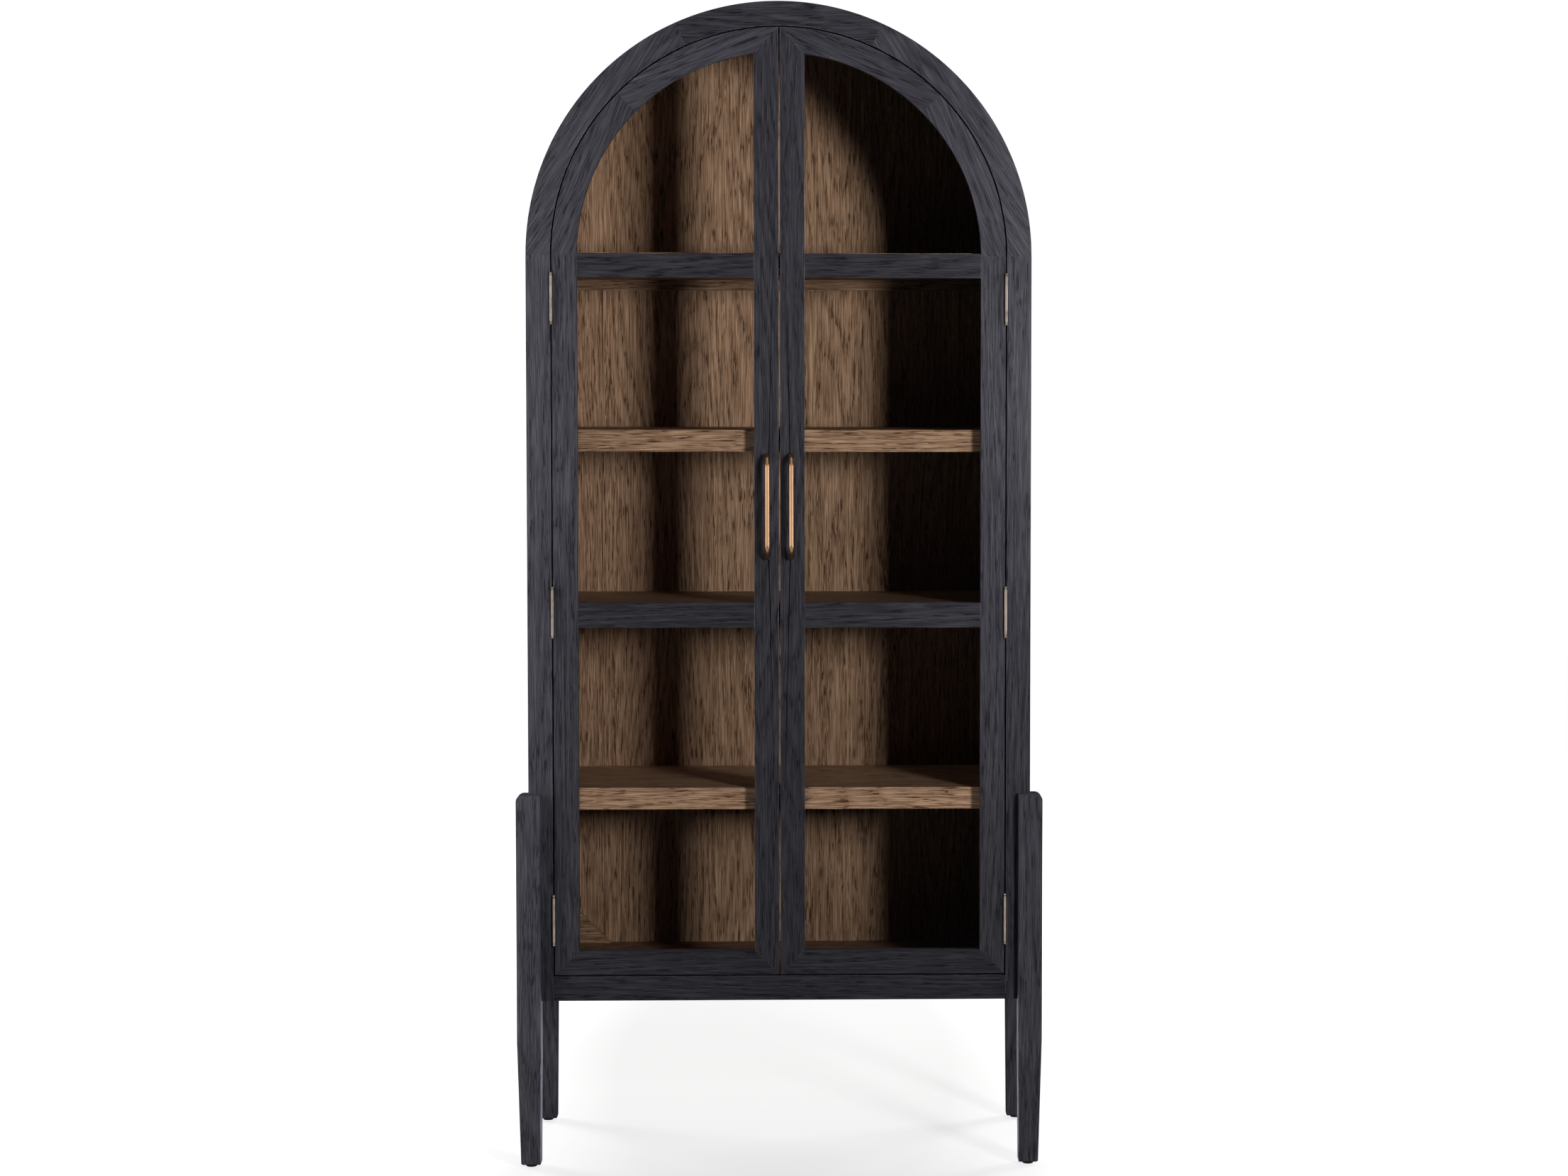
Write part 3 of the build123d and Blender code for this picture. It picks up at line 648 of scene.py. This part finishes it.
# ======================================================================
# Floor, world and camera
# ======================================================================
def floor_material():
    """Pale where the camera sees it, and dark to glass and metal so that no bay is veiled."""
    material, graph, shader, output = new_material("pale_floor")
    place = graph.place()
    direct = graph.seen_directly()
    speckle = graph.noise(place, scale=60, detail=3)
    pale = graph.blend(speckle, (0.50, 0.50, 0.50), (0.53, 0.53, 0.53))
    graph.feed(shader.inputs["Base Color"], graph.blend(direct, (0.10, 0.10, 0.10), pale))
    shader.inputs["Roughness"].default_value = 0.9
    shader.inputs["Specular IOR Level"].default_value = 0.0

    # It glows for the camera, less under and behind the cabinet as a painted shadow, and a little as it
    # lights it.
    offset = graph.vector("SUBTRACT", place, FLOOR_SHADE_MIDDLE)
    away = graph.length(graph.stretch(offset, FLOOR_SHADE_SQUASH))
    glow_with_painted_shade = graph.spread(away, FLOOR_SHADE_START, FLOOR_SHADE_END, FLOOR_GLOW_IN_PAINTED_SHADE, FLOOR_FAR)
    seen = graph.math("MULTIPLY", direct, glow_with_painted_shade)
    path = graph.node("ShaderNodeLightPath")
    bounced = graph.math("MULTIPLY", path.outputs["Is Diffuse Ray"], FLOOR_BOUNCE)
    shine = graph.node("ShaderNodeEmission")
    shine.inputs["Color"].default_value = (1, 1, 1, 1)
    graph.feed(shine.inputs["Strength"], graph.math("ADD", seen, bounced))
    both = graph.node("ShaderNodeAddShader")
    graph.feed(both.inputs[0], shader.outputs[0])
    graph.feed(both.inputs[1], shine.outputs[0])
    graph.feed(output.inputs["Surface"], both.outputs[0])
    return material


def stage_floor():
    """One large flat floor."""
    data = bpy.data.meshes.new("studio_floor")
    signs = ((-1, -1), (1, -1), (1, 1), (-1, 1))
    corners = [(x * FLOOR_HALF_SIZE, y * FLOOR_HALF_SIZE, 0) for x, y in signs]
    data.from_pydata(corners, [], [(0, 1, 2, 3)])
    floor = bpy.data.objects.new("studio_floor", data)
    bpy.context.scene.collection.objects.link(floor)
    data.materials.append(floor_material())


def studio_world():
    """White behind the cabinet for the camera, and dim all round for the light."""
    world = bpy.data.worlds.new("studio")
    bpy.context.scene.world = world
    world.use_nodes = True
    world.node_tree.nodes.clear()
    graph = Graph(world.node_tree)
    background = graph.node("ShaderNodeBackground")
    background.inputs["Color"].default_value = (1, 1, 1, 1)
    strength = graph.spread(graph.seen_directly(), 0.0, 1.0, WORLD_FILL, WORLD_SEEN)
    graph.feed(background.inputs["Strength"], strength)
    output = graph.node("ShaderNodeOutputWorld")
    graph.feed(output.inputs["Surface"], background.outputs[0])


def studio_camera():
    """The camera in front of the doors, turned by yaw, pitch and roll."""
    yaw, pitch, roll = (math.radians(turn) for turn in (CAMERA_YAW, CAMERA_PITCH, CAMERA_ROLL))
    level = math.cos(pitch)
    ahead = Vector((math.sin(yaw) * level, math.cos(yaw) * level, -math.sin(pitch)))
    right = Vector((math.cos(yaw), -math.sin(yaw), 0))
    up = right.cross(ahead)
    turned_right = right * math.cos(roll) + up * math.sin(roll)
    turned_up = up * math.cos(roll) - right * math.sin(roll)
    data = bpy.data.cameras.new("studio_camera")
    data.lens = CAMERA_LENS
    data.sensor_width = CAMERA_SENSOR
    data.sensor_fit = "HORIZONTAL"
    data.shift_x = CAMERA_SHIFT_X
    camera = bpy.data.objects.new("studio_camera", data)
    turn = Matrix((turned_right, turned_up, -ahead)).transposed()
    camera.matrix_world = Matrix.Translation(CAMERA_PLACE) @ turn.to_4x4()
    bpy.context.scene.collection.objects.link(camera)
    bpy.context.scene.camera = camera


stage_floor()
studio_world()
studio_camera()


# ======================================================================
# Lamps: metres, watts, and degrees of spread
# ======================================================================
def area_light(name, place, target, size, power, spread=180, lights="diffuse"):
    """A softbox the camera can't see, which lights only what is diffuse or only what is glossy."""
    data = bpy.data.lights.new(name, "AREA")
    data.shape = "RECTANGLE"
    data.size, data.size_y = size
    data.energy = power
    data.spread = math.radians(spread)
    lamp = bpy.data.objects.new(name, data)
    lamp.location = place
    lamp.visible_camera = False
    lamp.visible_diffuse = lights == "diffuse"
    lamp.visible_glossy = lights == "glossy"
    lamp.rotation_euler = (Vector(target) - Vector(place)).to_track_quat("-Z", "Y").to_euler()
    bpy.context.scene.collection.objects.link(lamp)
    return lamp


def gloss_light(name, place, target, size, power):
    """A softbox that only glossy surfaces mirror."""
    return area_light(name, place, target, size, power, lights="glossy")


def light_only(label, lamps, names):
    """Keep these lamps to the named nodes, so that nothing beside them is lit."""
    lit = bpy.data.collections.new(label)
    for name in names:
        lit.objects.link(nodes[name])
    for lamp in lamps:
        lamp.light_linking.receiver_collection = lit


MID_FACE = (0, FACE_Y, 1.3)
LEGS = ["leg_front_left", "leg_front_right", "leg_rear_left", "leg_rear_right"]
SHELVES = ["shelf_1", "shelf_2", "shelf_3", "shelf_4"]

area_light("key", (2.38, -4.34, 1.68), (0, FACE_Y, 1.85), (0.7, 0.9), 33, spread=65)

# Strips beside the front that lift the black face towards its edges.
EDGE_LAMPS = [
    area_light("edge_left", (-0.9, -0.38, 1.15), (-0.44, FACE_Y, 1.15), (0.2, 2.2), 9),
    area_light("edge_left_high", (-0.9, -0.38, 1.6), (-0.44, FACE_Y, 1.6), (0.2, 1.0), 4),
    area_light("edge_right", (0.9, -0.38, 1.15), (0.44, FACE_Y, 1.15), (0.2, 2.2), 2),
    area_light("edge_right_high", (0.9, -0.38, 1.6), (0.44, FACE_Y, 1.6), (0.2, 1.0), 7),
]
light_only("edge_lit", EDGE_LAMPS, BLACK_BOARDS)

# The legs from low in front, and the front legs' inner faces from under the cabinet.
LEG_LAMPS = [
    area_light("leg_light", (0, -2.6, 0.1), (0, FACE_Y, 0.15), (3.0, 0.3), 24),
    area_light("leg_inside_left", (0.1, -0.05, 0.15), (-0.44, -0.2, 0.15), (0.2, 0.16), 2.6, spread=65),
    area_light("leg_inside_right", (-0.1, -0.05, 0.15), (0.44, -0.2, 0.15), (0.2, 0.16), 2.6, spread=65),
]
light_only("leg_lit", LEG_LAMPS, LEGS)

SHELF_LAMPS = [area_light("shelf_fill", (-1.2, -5.5, 1.5), (0, FACE_Y, 1.0), (1.0, 1.0), 45)]
light_only("shelf_lit", SHELF_LAMPS, SHELVES)

TOP_LAMPS = [area_light("top_fill", (0, 1.0, 4.4), (0, 0.1, 2.1), (2.4, 1.6), 60)]
light_only("top_lit", TOP_LAMPS, list(BLACK_BOARDS) + ["arch_top_panel"])

area_light("side_fill_left", (-3.0, 2.2, 1.8), (-0.46, 0, 1.1), (1.5, 2.0), 60)
area_light("side_fill_right", (3.0, 2.2, 1.8), (0.46, 0, 1.1), (1.5, 2.0), 60)
area_light("back_fill", (0.6, 4.5, 2.4), (0, 0, 1.1), (2.5, 2.0), 60)

# Panels and strips all round the front, which the pulls and hinges mirror.
SHINE_LAMPS = [
    gloss_light("shine_front", (0, -4.5, 1.9), MID_FACE, (7.0, 3.6), 60),
    gloss_light("shine_left", (-3.6, -2.2, 1.3), MID_FACE, (3.0, 2.6), 9),
    gloss_light("shine_right", (3.6, -2.2, 1.3), MID_FACE, (3.0, 2.6), 9),
    gloss_light("glint_left", (-3.3, -3.27, 1.3), MID_FACE, (0.35, 2.4), 10),
    gloss_light("glint_right", (3.3, -3.27, 1.3), MID_FACE, (0.35, 2.4), 10),
    gloss_light("shine_top", (0, -1.2, 3.4), MID_FACE, (3.0, 2.5), 11),
    gloss_light("shine_low", (0, -1.2, 0.2), (0, FACE_Y, 1.1), (3.0, 1.0), 4),
]
light_only("shining_metal", SHINE_LAMPS, BRASS_NODES + BRONZE_NODES)

gloss_light("rim_left", (-3.0, -1.5, 1.4), MID_FACE, (1.4, 2.6), 14)
gloss_light("rim_right", (3.0, -1.5, 1.4), MID_FACE, (1.4, 2.6), 14)

bpy.context.scene.view_settings.view_transform = "Standard"
